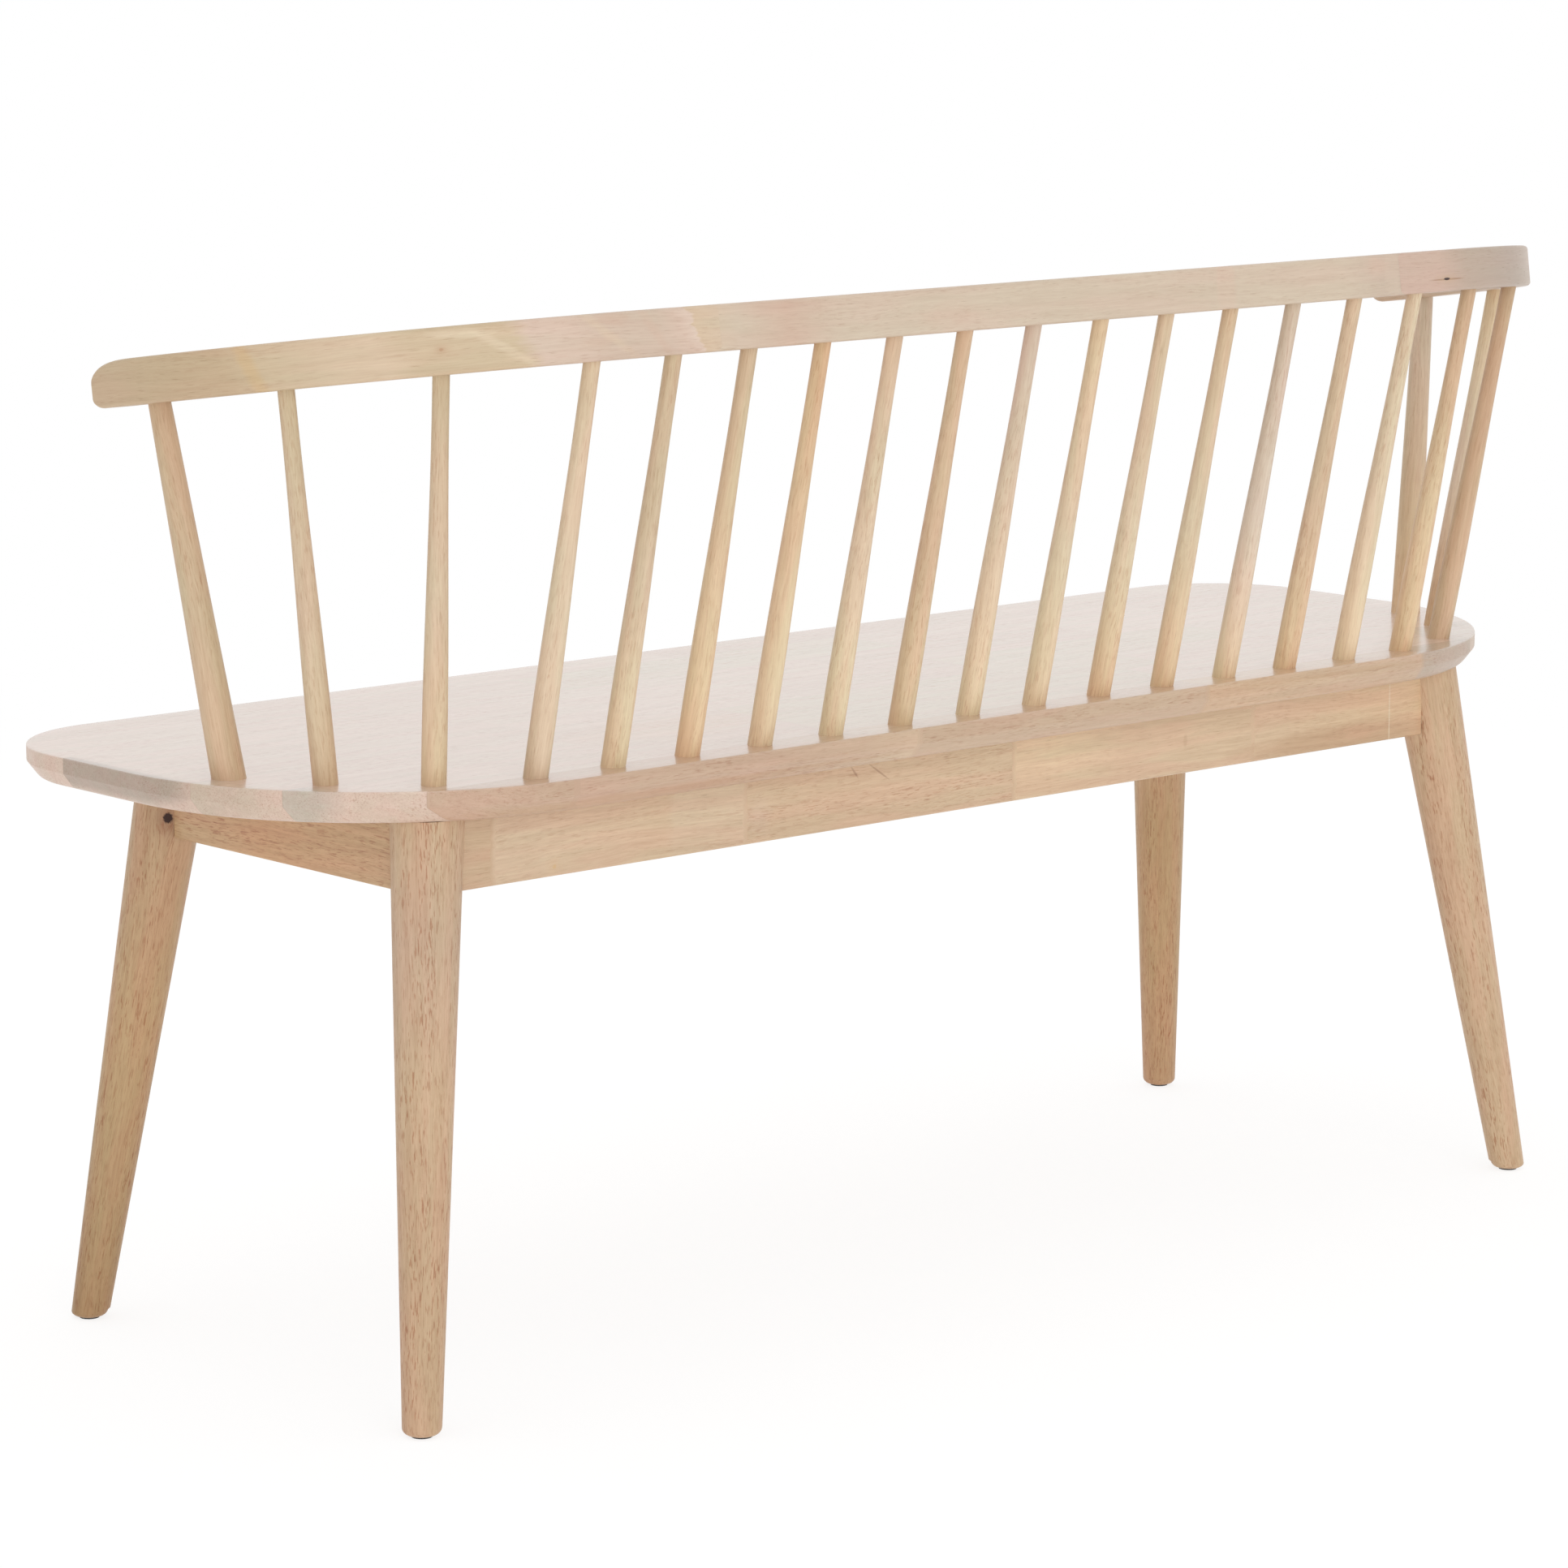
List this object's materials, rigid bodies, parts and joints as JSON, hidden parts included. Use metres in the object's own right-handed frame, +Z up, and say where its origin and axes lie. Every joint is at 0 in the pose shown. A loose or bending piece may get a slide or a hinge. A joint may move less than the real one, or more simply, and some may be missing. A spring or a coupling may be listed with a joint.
{
  "type": "dining bench",
  "caption": "Pale wooden dining bench with a rounded seat, splayed round legs, and a spindle back that bends round into low arms.",
  "frame": {"origin": "on the floor, under the middle of the bench's overall length and depth", "axes": "+X to the sitter's left, along the bench; +Y to the back; +Z up"},
  "size_m": [1.346, 0.4854, 0.7809],
  "materials": {
    "seat_wood": "clear matt lacquer on pale, whitened rubberwood staves",
    "bow_wood": "clear matt lacquer on pale rubberwood",
    "spindle_wood": "clear matt lacquer on pale rubberwood",
    "leg_wood": "clear matt lacquer on rubberwood",
    "apron_wood": "clear matt lacquer on rubberwood",
    "inner_wood": "sawn and planed, unlacquered",
    "zinc_steel": "zinc plated",
    "glide_plastic": "moulded"
  },
  "bodies": {
    "root": {"seat_panel": "seat_wood", "bow_back": "bow_wood", "bow_arm_left": "bow_wood", "bow_arm_right": "bow_wood", "arm_post_left": "spindle_wood", "arm_post_right": "spindle_wood", "spindle_01": "spindle_wood", "spindle_02": "spindle_wood", "spindle_03": "spindle_wood", "spindle_04": "spindle_wood", "spindle_05": "spindle_wood", "spindle_06": "spindle_wood", "spindle_07": "spindle_wood", "spindle_08": "spindle_wood", "spindle_09": "spindle_wood", "spindle_10": "spindle_wood", "spindle_11": "spindle_wood", "spindle_12": "spindle_wood", "spindle_13": "spindle_wood", "spindle_14": "spindle_wood", "spindle_15": "spindle_wood", "spindle_16": "spindle_wood", "spindle_17": "spindle_wood", "spindle_18": "spindle_wood", "leg_rear_left": "leg_wood", "leg_front_left": "leg_wood", "leg_rear_right": "leg_wood", "leg_front_right": "leg_wood", "apron_rear": "apron_wood", "apron_front": "apron_wood", "apron_left": "apron_wood", "apron_right": "apron_wood", "corner_block_rear_left": "inner_wood", "corner_block_front_left": "inner_wood", "corner_block_rear_right": "inner_wood", "corner_block_front_right": "inner_wood", "apron_dowels": "inner_wood", "leg_bolts": "zinc_steel", "leg_washers": "zinc_steel", "leg_nuts": "zinc_steel", "block_screws": "zinc_steel", "seat_screws": "zinc_steel", "foot_glides": "glide_plastic", "glide_nails": "zinc_steel"}
  },
  "joints": []
}
